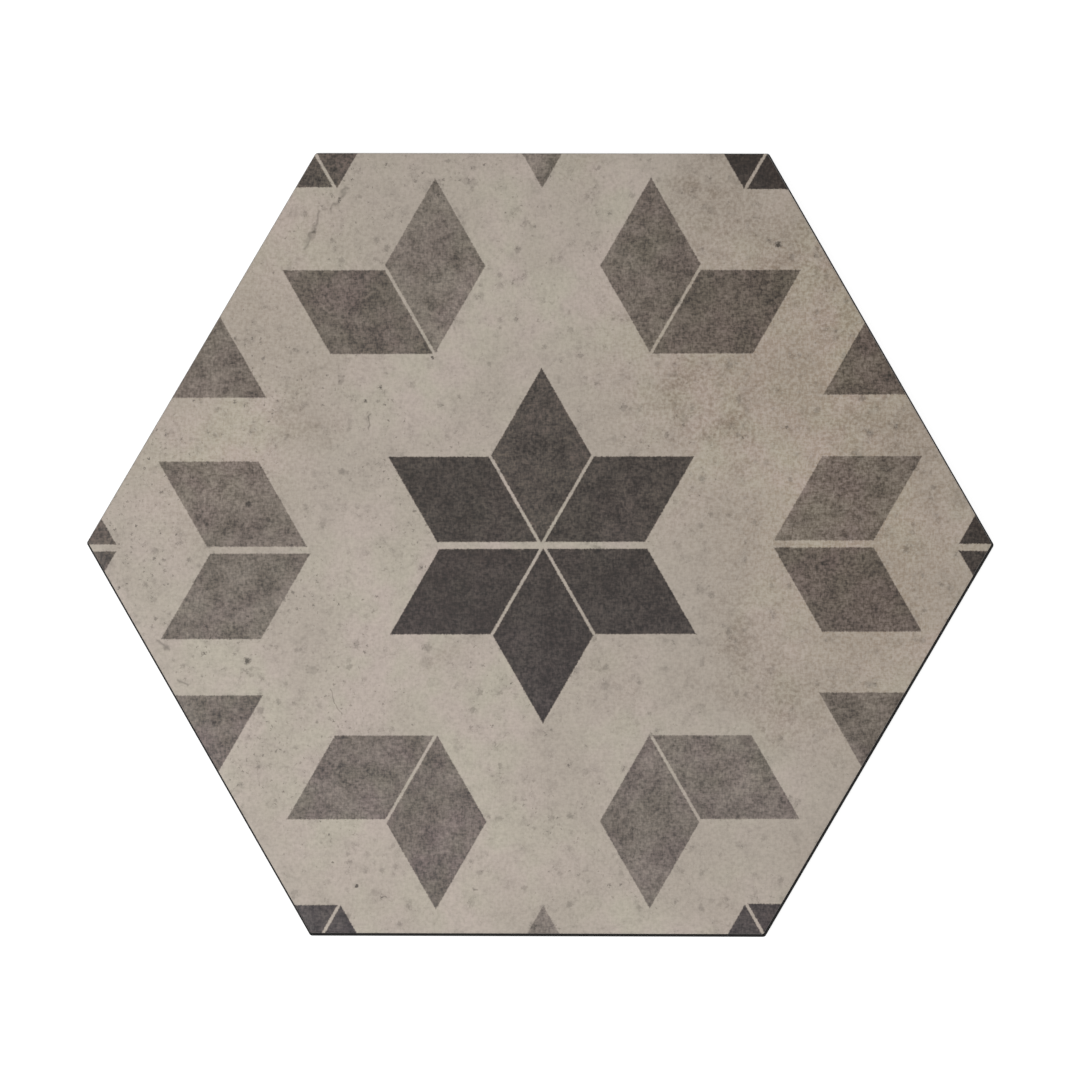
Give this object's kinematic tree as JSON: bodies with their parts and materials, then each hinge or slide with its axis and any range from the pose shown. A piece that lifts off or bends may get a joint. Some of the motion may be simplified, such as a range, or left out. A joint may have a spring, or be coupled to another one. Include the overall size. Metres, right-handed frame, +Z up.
{
  "type": "hexagon floor tile",
  "caption": "Hexagonal glazed porcelain floor tile with a concrete-look face, a star of rhombi printed on it, and a honeycomb key pattern pressed into its underside.",
  "frame": {"origin": "centre of the hexagon, in the plane of the underside that it lies on", "axes": "+X towards the corner at the right of the picture, +Y towards the flat side at its top, +Z up out of the printed face"},
  "size_m": [0.3288, 0.285, 0.009],
  "materials": {
    "glazed_porcelain": "satin"
  },
  "bodies": {
    "root": {"hexagon_tile": "glazed_porcelain"}
  },
  "joints": []
}
